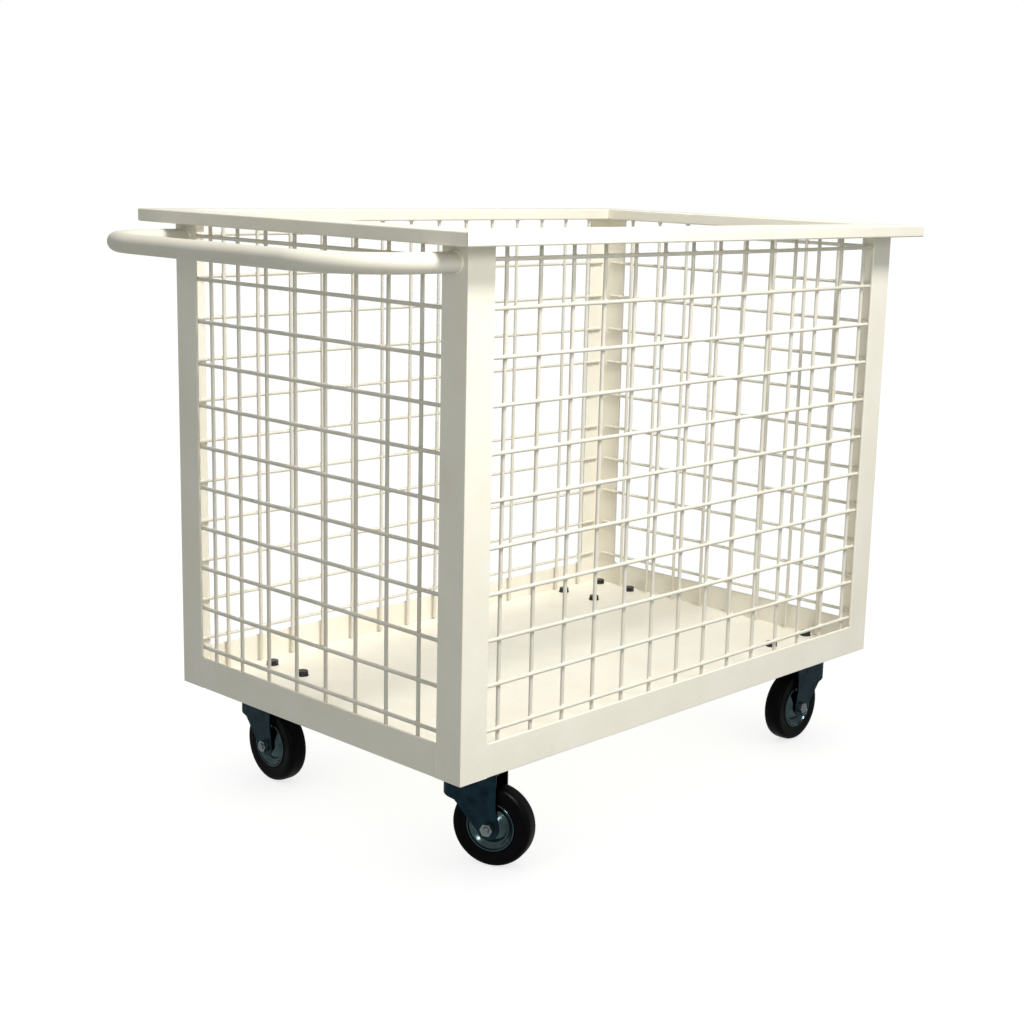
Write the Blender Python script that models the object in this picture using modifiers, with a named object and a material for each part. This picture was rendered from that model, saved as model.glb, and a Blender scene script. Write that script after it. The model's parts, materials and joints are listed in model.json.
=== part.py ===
"""Wire mesh linen trolley: an angle iron cage on four swivel casters, with a push handle.

X runs along the trolley, and the handle is at its -X end, the rear. Y runs across it, with +Y on
the left of whoever pushes. The origin is on the ground, under the middle of the bounding box.
Sizes are in metres.
"""

import math

import bmesh
import bpy
from mathutils import Matrix, Vector

# Cage: outer faces of the corner posts, and heights from the underside of the frame
BODY_LENGTH = 1.000
BODY_WIDTH = 0.650
POST_HEIGHT = 0.735
GROUND_CLEARANCE = 0.1565
ANGLE_LEG = 0.050
ANGLE_WALL = 0.004
FLOOR_THICKNESS = 0.002

# Rim: rectangular tube laid flat on the posts
RIM_OVERHANG = 0.040
RIM_WIDTH = 0.060
RIM_HEIGHT = 0.020
RIM_WALL = 0.0015

# Welded wire panels: a thinner square bar stands for the 6 mm round wire
WIRE_SIDE = 0.0045
WIRE_SINK = 0.0003
SIDE_UPRIGHTS = 14
SIDE_PITCH = 0.0656
SIDE_FIRST_UPRIGHT = 0.081
END_UPRIGHTS = 8
END_PITCH = 0.068
END_FIRST_UPRIGHT = 0.0984
CROSS_WIRES = 11
CROSS_PITCH = 0.065
FIRST_CROSS_WIRE = 0.066
PANEL_INSET = 0.018
PANEL_FLOOR_CLEARANCE = 0.002

# Push handle: a bent tube on the faces of the two rear posts
HANDLE_REACH = 0.175
HANDLE_RADIUS = 0.014
HANDLE_WALL = 0.002
HANDLE_BEND = 0.125
HANDLE_HEIGHT = 0.712
BEND_STEPS = 8

# Casters. Their swivel axes are this far in from the cage's corners, along X and along Y.
REAR_CASTER_INSET = (0.094, 0.081)
FRONT_CASTER_INSET = (0.077, 0.071)
TRAIL = 0.042
PLATE_LENGTH = 0.140
PLATE_WIDTH = 0.110
PLATE_THICKNESS = 0.004
PLATE_CORNER = 0.008
BOLT_SPACING_X = 0.105
BOLT_SPACING_Y = 0.080
BOLT_HOLE_RADIUS = 0.0055
PAD_LENGTH = 0.116
PAD_WIDTH = 0.086
RACE_HEIGHT = 0.0077
RACE_RADIUS = 0.033
RACE_CHAMFER = 0.002
KINGPIN_RADIUS = 0.006
KINGPIN_HEAD_RADIUS = 0.0095
KINGPIN_HEAD_HEIGHT = 0.002
KINGPIN_FOOT_RADIUS = 0.011
KINGPIN_FOOT_HEIGHT = 0.006

# Fork, seen from the side: distances in front of and behind the swivel axis, heights over ground
FORK_WALL = 0.003
FORK_INNER_WIDTH = 0.040
FORK_CORNER = 0.015
CROWN_THICKNESS = 0.0035
FORK_FRONT = 0.034
FORK_REAR = 0.053
FORK_WEB_BOTTOM = 0.103
FORK_SHOULDER = (-0.012, 0.0965)
FORK_WAIST_HEIGHT = 0.0935
FORK_END_RADIUS = 0.017

# Wheel
WHEEL_RADIUS = 0.061
TYRE_WIDTH = 0.032
HUB_RADIUS = 0.038
HUB_WIDTH = 0.038
WHEEL_STEPS = 24
AXLE_RADIUS = 0.005
SLEEVE_RADIUS = 0.0075
HEX_RADIUS = 0.0098
BOLT_HEAD_HEIGHT = 0.0064
NUT_HEIGHT = 0.008

# Each corner: the end and side it is on, and the heading in which its wheel trails, in degrees
CORNERS = {
    "rear_right": (-1, -1, -68),
    "rear_left": (-1, 1, -92),
    "front_right": (1, -1, -179),
    "front_left": (1, 1, -112),
}
ENDS = {"rear": -1, "front": 1}
SIDES = {"right": -1, "left": 1}

# Worked out from the above. The gap keeps two pieces that rest on each other apart.
GAP = 0.0003
BODY_X = (HANDLE_REACH + HANDLE_RADIUS - RIM_OVERHANG) / 2
FRAME_Z = GROUND_CLEARANCE
FLOOR_Z = FRAME_Z + ANGLE_WALL + GAP
RIM_Z = FRAME_Z + POST_HEIGHT
PLATE_Z = FRAME_Z - GAP - PLATE_THICKNESS
RACE_Z = PLATE_Z - GAP - RACE_HEIGHT
CROWN_TOP = RACE_Z - GAP
CROWN_BOTTOM = CROWN_TOP - CROWN_THICKNESS

# A prism stands along Z. These turn its length to lie along X or along Y.
ALONG_X = Matrix(((0, 0, 1, 0), (1, 0, 0, 0), (0, 1, 0, 0), (0, 0, 0, 1)))
ALONG_Y = Matrix(((0, 1, 0, 0), (0, 0, 1, 0), (1, 0, 0, 0), (0, 0, 0, 1)))
ON_EDGE = Matrix.Rotation(math.pi / 2, 4, "X")


# Making meshes


def bake(obj):
    """Return what obj evaluates to as a welded mesh facing out, and remove obj."""
    bpy.context.scene.collection.objects.link(obj)
    graph = bpy.context.evaluated_depsgraph_get()
    mesh = bpy.data.meshes.new_from_object(obj.evaluated_get(graph))
    bpy.data.objects.remove(obj)
    bm = bmesh.new()
    bm.from_mesh(mesh)
    bmesh.ops.remove_doubles(bm, verts=bm.verts, dist=1e-6)
    bmesh.ops.recalc_face_normals(bm, faces=bm.faces)
    bm.to_mesh(mesh)
    bm.free()
    mesh.materials.clear()
    return mesh


def boxes(corner_pairs):
    """A mesh of separate boxes, each given by two opposite corners."""
    bm = bmesh.new()
    for start, end in corner_pairs:
        start, end = Vector(start), Vector(end)
        size = [abs(length) for length in end - start]
        place = Matrix.Translation((start + end) / 2) @ Matrix.Diagonal((*size, 1))
        bmesh.ops.create_cube(bm, size=1, matrix=place)
    mesh = bpy.data.meshes.new("boxes")
    bm.to_mesh(mesh)
    bm.free()
    return mesh


def cylinder(radius, length, sides, place):
    """A cylinder, or with few sides a prism, centred on place and lying along its Z axis."""
    bm = bmesh.new()
    bmesh.ops.create_cone(
        bm,
        cap_ends=True,
        segments=sides,
        radius1=radius,
        radius2=radius,
        depth=length,
        matrix=place,
    )
    mesh = bpy.data.meshes.new("cylinder")
    bm.to_mesh(mesh)
    bm.free()
    return mesh


def prism(loops, bottom, top):
    """A flat outline with any holes, filled, from one height up to another."""
    curve = bpy.data.curves.new("outline", "CURVE")
    curve.dimensions = "2D"
    curve.fill_mode = "BOTH"
    curve.extrude = (top - bottom) / 2
    for loop in loops:
        spline = curve.splines.new("POLY")
        spline.points.add(len(loop) - 1)
        for point, (x, y) in zip(spline.points, loop):
            point.co = (x, y, 0, 1)
        spline.use_cyclic_u = True
    mesh = bake(bpy.data.objects.new("outline", curve))
    mesh.transform(Matrix.Translation((0, 0, (top + bottom) / 2)))
    return mesh


def turned(profile, steps, ring=True):
    """A (radius, height) profile turned about Z. A ring's profile is a closed loop."""
    edges = [(i, i + 1) for i in range(len(profile) - 1)]
    if ring:
        edges.append((len(profile) - 1, 0))
    mesh = bpy.data.meshes.new("profile")
    mesh.from_pydata([(radius, 0, height) for radius, height in profile], edges, [])
    obj = bpy.data.objects.new("turned", mesh)
    screw = obj.modifiers.new("turn", "SCREW")
    screw.steps = steps
    screw.render_steps = steps
    screw.use_merge_vertices = True
    screw.merge_threshold = 0.00001
    return bake(obj)


def combined(mesh, other, operation):
    """The Boolean of two meshes."""
    tool = bpy.data.objects.new("tool", other)
    bpy.context.scene.collection.objects.link(tool)
    obj = bpy.data.objects.new("combined", mesh)
    boolean = obj.modifiers.new("combine", "BOOLEAN")
    boolean.operation = operation
    boolean.object = tool
    result = bake(obj)
    bpy.data.objects.remove(tool)
    return result


def moved(mesh, place):
    mesh.transform(place)
    return mesh


def circle(x, y, radius, sides=12):
    """The corners of a regular polygon around (x, y)."""
    turns = [2 * math.pi * i / sides for i in range(sides)]
    return [(x + radius * math.cos(turn), y + radius * math.sin(turn)) for turn in turns]


def arc(x, y, radius, start, end, steps):
    """Points on an arc around (x, y), between two angles in degrees."""
    angles = [math.radians(start + (end - start) * i / steps) for i in range(steps + 1)]
    return [(x + radius * math.cos(a), y + radius * math.sin(a)) for a in angles]


def rectangle(low_x, low_y, high_x, high_y):
    return [(low_x, low_y), (high_x, low_y), (high_x, high_y), (low_x, high_y)]


def mirrored_profile(half):
    """A profile and its mirror image below, as one loop."""
    return half + [(radius, -height) for radius, height in reversed(half)]


# Materials and placing


def material(name, colour, roughness, metallic):
    made = bpy.data.materials.new(name)
    made.use_nodes = True
    made.diffuse_color = (*colour, 1)
    shader = made.node_tree.nodes["Principled BSDF"]
    shader.inputs["Base Color"].default_value = (*colour, 1)
    shader.inputs["Roughness"].default_value = roughness
    shader.inputs["Metallic"].default_value = metallic
    return made


def add_part(name, mesh, finish, location=(0, 0, 0), parent=None, smooth=False):
    """Put a mesh in the trolley's collection as a named object."""
    if not mesh.materials:
        mesh.materials.append(finish)
    if smooth:
        mesh.shade_smooth()
        mesh.set_sharp_from_angle(angle=math.radians(35))
    else:
        mesh.shade_flat()
    obj = bpy.data.objects.new(name, mesh)
    obj.location = location
    obj.parent = parent
    trolley.objects.link(obj)


def add_empty(name, location, heading=0, parent=None):
    """An axis that pieces turn about: an empty, turned to a heading in degrees."""
    empty = bpy.data.objects.new(name, None)
    empty.location = location
    empty.rotation_euler.z = math.radians(heading)
    empty.parent = parent
    trolley.objects.link(empty)
    return empty


def corner_point(end, side):
    """The outer corner of the cage at one end and side."""
    return BODY_X + end * BODY_LENGTH / 2, side * BODY_WIDTH / 2


def caster_point(end, side):
    """Where a caster's swivel axis stands."""
    x, y = corner_point(end, side)
    inset = FRONT_CASTER_INSET if end > 0 else REAR_CASTER_INSET
    return x - end * inset[0], y - side * inset[1]


def bolt_points(end, side):
    """The four bolts that hold one caster."""
    x, y = caster_point(end, side)
    half_x, half_y = BOLT_SPACING_X / 2, BOLT_SPACING_Y / 2
    return [(x + i * half_x, y + j * half_y) for i in (-1, 1) for j in (-1, 1)]


def in_box(point, start, end):
    """Whether a point lies in the rectangle with these opposite corners."""
    return all(min(a, b) < p < max(a, b) for p, a, b in zip(point, start, end))


def drilled(mesh, start, end):
    """Drill every caster bolt hole that falls in the plan rectangle from start to end."""
    for corner_end, corner_side, _ in CORNERS.values():
        for point in bolt_points(corner_end, corner_side):
            if in_box(point, start, end):
                place = Matrix.Translation((*point, FRAME_Z))
                drill = cylinder(BOLT_HOLE_RADIUS, ANGLE_LEG, 12, place)
                mesh = combined(mesh, drill, "DIFFERENCE")
    return mesh


# Cage


def angle_section(flip_x, flip_y):
    """The L section of an angle bar with its outer corner at the origin."""
    leg, wall = ANGLE_LEG, ANGLE_WALL
    section = [(0, 0), (leg, 0), (leg, wall), (wall, wall), (wall, leg), (0, leg)]
    return [(x * flip_x, y * flip_y) for x, y in section]


def add_posts():
    for corner, (end, side, _) in CORNERS.items():
        mesh = prism([angle_section(-end, -side)], 0, POST_HEIGHT - GAP)
        add_part("corner_post_" + corner, mesh, paint, (*corner_point(end, side), FRAME_Z))


def add_side_rails():
    """The rails along both sides. Their flat legs reach in behind the posts' legs."""
    half = BODY_LENGTH / 2 - ANGLE_WALL - GAP
    for name, side in SIDES.items():
        mesh = moved(prism([angle_section(-side, 1)], -half, half), ALONG_X)
        mesh.transform(Matrix.Translation((BODY_X, side * BODY_WIDTH / 2, FRAME_Z)))
        for end in (-1, 1):
            x, y = corner_point(end, side)
            reach, depth = ANGLE_LEG + GAP, ANGLE_WALL + GAP
            clear = 2 * ANGLE_LEG
            outer = (x + end * clear, y + side * clear, FRAME_Z - clear)
            inner = (x - end * reach, y - side * depth, FRAME_Z + clear)
            mesh = combined(mesh, boxes([(outer, inner)]), "DIFFERENCE")
        start = (BODY_X - half, side * BODY_WIDTH / 2)
        end = (BODY_X + half, side * (BODY_WIDTH / 2 - ANGLE_LEG))
        add_part("bottom_rail_" + name, drilled(mesh, start, end), paint)


def add_end_rails():
    """The rails across both ends, between the flat legs of the side rails."""
    half = BODY_WIDTH / 2 - ANGLE_LEG - GAP
    for name, end in ENDS.items():
        mesh = moved(prism([angle_section(1, -end)], -half, half), ALONG_Y)
        x, _ = corner_point(end, 1)
        mesh.transform(Matrix.Translation((x, 0, FRAME_Z)))
        mesh = drilled(mesh, (x, -half), (x - end * ANGLE_LEG, half))
        add_part("bottom_rail_" + name, mesh, paint)


def add_floor():
    """The floor sheet on the flat legs, and a packing pad under it at each caster."""
    inset = ANGLE_WALL + GAP
    half_x, half_y = BODY_LENGTH / 2 - inset, BODY_WIDTH / 2 - inset
    loops = [rectangle(BODY_X - half_x, -half_y, BODY_X + half_x, half_y)]
    for end, side, _ in CORNERS.values():
        loops += [circle(x, y, BOLT_HOLE_RADIUS) for x, y in bolt_points(end, side)]
    add_part("floor_sheet", prism(loops, FLOOR_Z, FLOOR_Z + FLOOR_THICKNESS), paint)

    for corner, (end, side, _) in CORNERS.items():
        x, y = corner_point(end, side)
        start = (x - end * (ANGLE_LEG + GAP), y - side * (ANGLE_LEG + GAP))
        stop = (start[0] - end * PAD_LENGTH, start[1] - side * PAD_WIDTH)
        mesh = boxes([((*start, FRAME_Z), (*stop, FRAME_Z + ANGLE_WALL))])
        add_part("caster_pad_" + corner, drilled(mesh, start, stop), paint)


def rim_rail(length, width, turn):
    """One hollow mitred rail of the rim, lying along X before it is turned."""
    half_y, half_z = RIM_WIDTH / 2, RIM_HEIGHT / 2
    wall = RIM_WALL
    section = [
        rectangle(-half_y, -half_z, half_y, half_z),
        rectangle(-half_y + wall, -half_z + wall, half_y - wall, half_z - wall),
    ]
    mesh = moved(prism(section, -length / 2, length / 2), ALONG_X)
    outer, inner = length / 2 - GAP, length / 2 - GAP - RIM_WIDTH
    mitre = [(-outer, -half_y), (outer, -half_y), (inner, half_y), (-inner, half_y)]
    mesh = combined(mesh, prism([mitre], -RIM_WIDTH, RIM_WIDTH), "INTERSECT")
    place = Matrix.Translation((BODY_X, 0, RIM_Z + half_z)) @ Matrix.Rotation(turn, 4, "Z")
    return moved(mesh, place @ Matrix.Translation((0, half_y - width / 2, 0)))


def add_rim():
    length, width = BODY_LENGTH + 2 * RIM_OVERHANG, BODY_WIDTH + 2 * RIM_OVERHANG
    add_part("rim_rail_right", rim_rail(length, width, 0), paint)
    add_part("rim_rail_front", rim_rail(width, length, math.pi / 2), paint)
    add_part("rim_rail_left", rim_rail(length, width, math.pi), paint)
    add_part("rim_rail_rear", rim_rail(width, length, -math.pi / 2), paint)


def wire_panel(length, first, pitch, count, to_world):
    """One welded panel. The cross wires lie outside the uprights.

    to_world takes a distance along the panel and a depth in from the face of the cage.
    """
    outside = ANGLE_WALL + GAP
    weld = outside + WIRE_SIDE - WIRE_SINK
    half = WIRE_SIDE / 2
    cross_wires = []
    for i in range(CROSS_WIRES):
        z = FRAME_Z + FIRST_CROSS_WIRE + i * CROSS_PITCH
        start = (*to_world(PANEL_INSET, outside), z - half)
        end = (*to_world(length - PANEL_INSET, outside + WIRE_SIDE), z + half)
        cross_wires.append((start, end))
    uprights = []
    for i in range(count):
        along = first + i * pitch
        start = (*to_world(along - half, weld), FLOOR_Z + FLOOR_THICKNESS + PANEL_FLOOR_CLEARANCE)
        end = (*to_world(along + half, weld + WIRE_SIDE), RIM_Z - GAP)
        uprights.append((start, end))
    return combined(boxes(uprights), boxes(cross_wires), "UNION")


def add_panels():
    rear_x, right_y = corner_point(-1, -1)
    for name, side in SIDES.items():
        mesh = wire_panel(
            BODY_LENGTH,
            SIDE_FIRST_UPRIGHT,
            SIDE_PITCH,
            SIDE_UPRIGHTS,
            lambda along, depth: (rear_x + along, side * (BODY_WIDTH / 2 - depth)),
        )
        add_part("mesh_panel_" + name, mesh, paint)
    for name, end in ENDS.items():
        mesh = wire_panel(
            BODY_WIDTH,
            END_FIRST_UPRIGHT,
            END_PITCH,
            END_UPRIGHTS,
            lambda along, depth: (BODY_X + end * (BODY_LENGTH / 2 - depth), right_y + along),
        )
        add_part("mesh_panel_" + name, mesh, paint)


def add_handle():
    """The tube runs from the middle of one rear post's face, round two bends, to the other's."""
    post_x = BODY_X - BODY_LENGTH / 2 - GAP
    bend_x = post_x + GAP - HANDLE_REACH + HANDLE_BEND
    arm_y = BODY_WIDTH / 2 - ANGLE_LEG / 2
    bend_y = arm_y - HANDLE_BEND
    path = (
        [(post_x, arm_y)]
        + arc(bend_x, bend_y, HANDLE_BEND, 90, 180, BEND_STEPS)
        + arc(bend_x, -bend_y, HANDLE_BEND, 180, 270, BEND_STEPS)
        + [(post_x, -arm_y)]
    )
    curve = bpy.data.curves.new("handle", "CURVE")
    curve.dimensions = "3D"
    curve.bevel_depth = HANDLE_RADIUS
    curve.bevel_resolution = 4
    spline = curve.splines.new("POLY")
    spline.points.add(len(path) - 1)
    for point, (x, y) in zip(spline.points, path):
        point.co = (x, y, FRAME_Z + HANDLE_HEIGHT, 1)
    skin = bake(bpy.data.objects.new("handle", curve))
    obj = bpy.data.objects.new("handle", skin)
    wall = obj.modifiers.new("wall", "SOLIDIFY")
    wall.thickness = HANDLE_WALL
    wall.offset = -1
    wall.use_even_offset = True
    add_part("push_handle", bake(obj), paint, smooth=True)


# Casters


def plate_mesh():
    """The top plate, about the swivel axis, with a sunk seat for the kingpin's head."""
    x, y = PLATE_LENGTH / 2 - PLATE_CORNER, PLATE_WIDTH / 2 - PLATE_CORNER
    outline = []
    for turn, (i, j) in enumerate(((1, 1), (-1, 1), (-1, -1), (1, -1))):
        outline += arc(i * x, j * y, PLATE_CORNER, 90 * turn, 90 * turn + 90, 2)
    holes = [
        circle(i * BOLT_SPACING_X / 2, j * BOLT_SPACING_Y / 2, BOLT_HOLE_RADIUS)
        for i in (-1, 1)
        for j in (-1, 1)
    ]
    holes.append(circle(0, 0, KINGPIN_RADIUS + GAP))
    mesh = prism([outline, *holes], PLATE_Z, PLATE_Z + PLATE_THICKNESS)
    seat_depth = KINGPIN_HEAD_HEIGHT + GAP
    place = Matrix.Translation((0, 0, PLATE_Z + PLATE_THICKNESS))
    seat = cylinder(KINGPIN_HEAD_RADIUS + GAP, 2 * seat_depth, 16, place)
    return combined(mesh, seat, "DIFFERENCE")


def race_mesh():
    """The ball race between the plate and the fork."""
    inner, outer = KINGPIN_RADIUS + 2 * RACE_CHAMFER, RACE_RADIUS
    top = RACE_Z + RACE_HEIGHT
    profile = [
        (inner, top),
        (outer - RACE_CHAMFER, top),
        (outer, top - RACE_CHAMFER),
        (outer, RACE_Z + RACE_CHAMFER),
        (outer - RACE_CHAMFER, RACE_Z),
        (inner, RACE_Z),
    ]
    return turned(profile, 16)


def kingpin_mesh():
    """The kingpin: a head sunk in the plate, and a foot under the fork's crown."""
    head_top = PLATE_Z + PLATE_THICKNESS
    head_bottom = head_top - KINGPIN_HEAD_HEIGHT
    foot_top = CROWN_BOTTOM - GAP
    profile = [
        (0, head_top),
        (KINGPIN_HEAD_RADIUS, head_top),
        (KINGPIN_HEAD_RADIUS, head_bottom),
        (KINGPIN_RADIUS, head_bottom),
        (KINGPIN_RADIUS, foot_top),
        (KINGPIN_FOOT_RADIUS, foot_top),
        (KINGPIN_FOOT_RADIUS, foot_top - KINGPIN_FOOT_HEIGHT),
        (0, foot_top - KINGPIN_FOOT_HEIGHT),
    ]
    return turned(profile, 12, ring=False)


def fork_plan(inset):
    """The fork from above: a round-cornered front, open past the wheel at the rear."""
    corner = FORK_CORNER - inset
    half = FORK_INNER_WIDTH / 2 + FORK_WALL - inset
    front = -FORK_FRONT + inset
    far = 2 * FORK_REAR
    return (
        [(far, half)]
        + arc(front + corner, half - corner, corner, 90, 180, 3)
        + arc(front + corner, corner - half, corner, 180, 270, 3)
        + [(far, -half)]
    )


def fork_mesh():
    """A pressed fork: a crown, a web round its front, and two legs to an axle that trails at +X."""
    side = [
        (FORK_REAR, CROWN_TOP),
        (-FORK_FRONT, CROWN_TOP),
        (-FORK_FRONT, FORK_WEB_BOTTOM),
        FORK_SHOULDER,
        *arc(TRAIL, WHEEL_RADIUS, FORK_END_RADIUS, 215, 360, 5),
        (FORK_REAR, FORK_WAIST_HEIGHT),
    ]
    half = FORK_INNER_WIDTH / 2 + FORK_WALL
    mesh = moved(prism([side], -2 * half, 2 * half), ON_EDGE)
    mesh = combined(mesh, prism([fork_plan(0)], 0, 2 * CROWN_TOP), "INTERSECT")
    mesh = combined(mesh, prism([fork_plan(FORK_WALL)], 0, CROWN_BOTTOM), "DIFFERENCE")
    kingpin_hole = Matrix.Translation((0, 0, CROWN_TOP))
    drill = cylinder(KINGPIN_RADIUS + GAP, 4 * CROWN_THICKNESS, 12, kingpin_hole)
    mesh = combined(mesh, drill, "DIFFERENCE")
    axle_hole = Matrix.Translation((TRAIL, 0, WHEEL_RADIUS)) @ ON_EDGE
    drill = cylinder(AXLE_RADIUS + GAP, 4 * half, 12, axle_hole)
    return combined(mesh, drill, "DIFFERENCE")


def axle_bolt_mesh():
    """The axle bolt along Y, with its hexagon head at +Y and its thread past the nut."""
    face = FORK_INNER_WIDTH / 2 + FORK_WALL + GAP
    tail = face + NUT_HEIGHT + AXLE_RADIUS / 2
    shank = prism([circle(0, 0, AXLE_RADIUS)], -face - HEX_RADIUS / 2, tail)
    head = prism([circle(0, 0, HEX_RADIUS, 6)], -face - BOLT_HEAD_HEIGHT, -face)
    return moved(combined(shank, head, "UNION"), ON_EDGE)


def axle_nut_mesh():
    """The nut on the bolt's -Y end."""
    face = FORK_INNER_WIDTH / 2 + FORK_WALL + GAP
    loops = [circle(0, 0, HEX_RADIUS, 6), circle(0, 0, AXLE_RADIUS + GAP)]
    return moved(prism(loops, face, face + NUT_HEIGHT), ON_EDGE)


def sleeve_mesh():
    """The spacer that the fork clamps on the axle, which the hub turns on."""
    half = FORK_INNER_WIDTH / 2 - GAP
    loops = [circle(0, 0, SLEEVE_RADIUS), circle(0, 0, AXLE_RADIUS + GAP)]
    return moved(prism(loops, -half, half), ON_EDGE)


def wheel_ring(half):
    """A ring about Y from the upper half of its profile, with one of its flats facing down."""
    half_step = Matrix.Rotation(math.pi / WHEEL_STEPS, 4, "Z")
    return moved(turned(mirrored_profile(half), WHEEL_STEPS), ON_EDGE @ half_step)


def hub_mesh():
    """The pressed steel wheel centre: a boss, dished faces and a rim that carries the tyre."""
    boss, web, rim = HUB_WIDTH / 2, HUB_WIDTH / 5, HUB_WIDTH * 0.4
    half = [
        (SLEEVE_RADIUS + GAP, boss),
        (HUB_RADIUS * 0.33, boss),
        (HUB_RADIUS * 0.37, boss * 0.8),
        (HUB_RADIUS * 0.80, web),
        (HUB_RADIUS * 0.88, rim),
        (HUB_RADIUS - GAP, rim),
    ]
    return wheel_ring(half)


def tyre_mesh():
    """A solid rubber tyre with round shoulders, whose flats are tangent to the wheel's circle."""
    tread = WHEEL_RADIUS / math.cos(math.pi / WHEEL_STEPS)
    wide = TYRE_WIDTH / 2
    half = [
        (HUB_RADIUS, wide * 0.94),
        (tread * 0.88, wide),
        (tread * 0.97, wide * 0.80),
        (tread, wide * 0.45),
    ]
    return wheel_ring(half)


def add_casters():
    """Four casters that share their meshes. Each turns about a swivel empty and an axle empty."""
    fixed = {"caster_plate": plate_mesh(), "swivel_race": race_mesh(), "kingpin": kingpin_mesh()}
    axle_pieces = {
        "axle_bolt": axle_bolt_mesh(),
        "axle_nut": axle_nut_mesh(),
        "axle_sleeve": sleeve_mesh(),
        "wheel_hub": hub_mesh(),
    }
    fork, tyre = fork_mesh(), tyre_mesh()
    for corner, (end, side, heading) in CORNERS.items():
        x, y = caster_point(end, side)
        for name, mesh in fixed.items():
            add_part(f"{name}_{corner}", mesh, zinc, (x, y, 0))
        swivel = add_empty("swivel_axis_" + corner, (x, y, 0), heading)
        add_part("fork_" + corner, fork, zinc, parent=swivel)
        axle = add_empty("wheel_axis_" + corner, (TRAIL, 0, WHEEL_RADIUS), parent=swivel)
        for name, mesh in axle_pieces.items():
            add_part(f"{name}_{corner}", mesh, zinc, parent=axle)
        add_part("tyre_" + corner, tyre, rubber, parent=axle, smooth=True)


# Building the trolley

for old in list(bpy.data.objects):
    bpy.data.objects.remove(old, do_unlink=True)
trolley = bpy.data.collections.new("linen_trolley")
bpy.context.scene.collection.children.link(trolley)
paint = material("powder_coat", (0.80, 0.76, 0.66), 0.45, 0.0)
zinc = material("zinc_plated_steel", (0.35, 0.40, 0.45), 0.30, 1.0)
rubber = material("black_rubber", (0.02, 0.02, 0.02), 0.45, 0.0)

add_posts()
add_side_rails()
add_end_rails()
add_floor()
add_rim()
add_panels()
add_handle()
add_casters()
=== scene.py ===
"""Looks of the linen trolley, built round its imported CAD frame. Metres, with the CAD's axes."""

import json
import math
import random

import bmesh
import bpy
from mathutils import Matrix, Vector

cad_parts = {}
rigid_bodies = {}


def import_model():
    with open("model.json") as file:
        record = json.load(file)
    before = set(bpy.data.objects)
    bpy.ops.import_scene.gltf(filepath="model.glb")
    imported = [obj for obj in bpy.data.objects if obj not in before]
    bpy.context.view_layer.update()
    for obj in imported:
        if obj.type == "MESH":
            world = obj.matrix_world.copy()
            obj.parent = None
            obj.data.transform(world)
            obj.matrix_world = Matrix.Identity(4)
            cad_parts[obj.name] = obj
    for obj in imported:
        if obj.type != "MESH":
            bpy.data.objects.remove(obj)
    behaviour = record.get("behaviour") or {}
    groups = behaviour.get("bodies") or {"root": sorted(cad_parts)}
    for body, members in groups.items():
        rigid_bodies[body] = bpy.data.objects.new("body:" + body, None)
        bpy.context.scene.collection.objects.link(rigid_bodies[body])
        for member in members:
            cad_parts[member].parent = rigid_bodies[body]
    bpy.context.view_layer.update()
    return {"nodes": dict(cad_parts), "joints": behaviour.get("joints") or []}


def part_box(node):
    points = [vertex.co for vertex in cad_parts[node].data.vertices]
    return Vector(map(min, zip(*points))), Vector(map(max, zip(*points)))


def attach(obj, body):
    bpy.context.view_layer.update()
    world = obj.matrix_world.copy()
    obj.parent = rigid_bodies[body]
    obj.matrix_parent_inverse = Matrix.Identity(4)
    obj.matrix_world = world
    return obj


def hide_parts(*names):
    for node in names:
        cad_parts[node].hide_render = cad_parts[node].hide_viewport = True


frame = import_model()

CORNERS = ("rear_right", "rear_left", "front_right", "front_left")
SIDES = ("right", "left")
ENDS = ("rear", "front")
UP = Vector((0, 0, 1))
LENGTHWISE = Vector((1, 0, 0))
CROSSWISE = Vector((0, 1, 0))

# Steelwork: radii of rounded edges
ROLLED_EDGE = 0.0012
ROLLED_ROOT = 0.0040
TUBE_EDGE = 0.0028
SHEET_EDGE = 0.0007

# Wire: its spot welds, and how far from a panel's ends it meets the posts
WIRE_RADIUS = 0.0030
WIRE_SIDES = 12
WIRE_BOW = 0.0009
NUGGET_RADIUS = 0.0040
TIP_WELD = (0.0044, 0.0044, 0.0026)
POST_WELD_RADIUS = 0.0042
POST_WELD_INSET = 0.027

# Handle
HANDLE_BEND = 0.125
HANDLE_SIDES = 32
HANDLE_WELD_RADIUS = 0.0030

# Beads of weld at the posts' tops and at the rails' ends
POST_BEAD_RADIUS = 0.0022
RAIL_BEAD_RADIUS = 0.0028
RAIL_BEAD_DEPTH = 0.0024

# Caster, as built in CAD
BOLT_SPACING = (0.105, 0.080)
BOLT_RADIUS = 0.005
BOLT_FLATS = 0.017
HEAD_HEIGHT = 0.0064
WASHER_THICKNESS = 0.0016
PLATE_CORNER = 0.008
PLATE_HOLE_RADIUS = 0.0055
FORK_FRONT = -0.034
FORK_REAR = 0.053
FORK_HALF_WIDTH = 0.023
TRAIL = 0.042
FORK_WALL = 0.003
FORK_CORNER = 0.015
FORK_SHOULDER = (-0.012, 0.0965)
FORK_WAIST_HEIGHT = 0.0935
FORK_WEB_BOTTOM = 0.103
FORK_END_RADIUS = 0.017
CROWN_THICKNESS = 0.0035
SLEEVE_RADII = (0.0075, 0.0053)
SLEEVE_HALF_LENGTH = 0.0197
TYRE_HALF_WIDTH = 0.016
CLEARANCE = 0.0003

ON_EDGE = Matrix.Rotation(math.pi / 2, 4, "X")


# Materials


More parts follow.
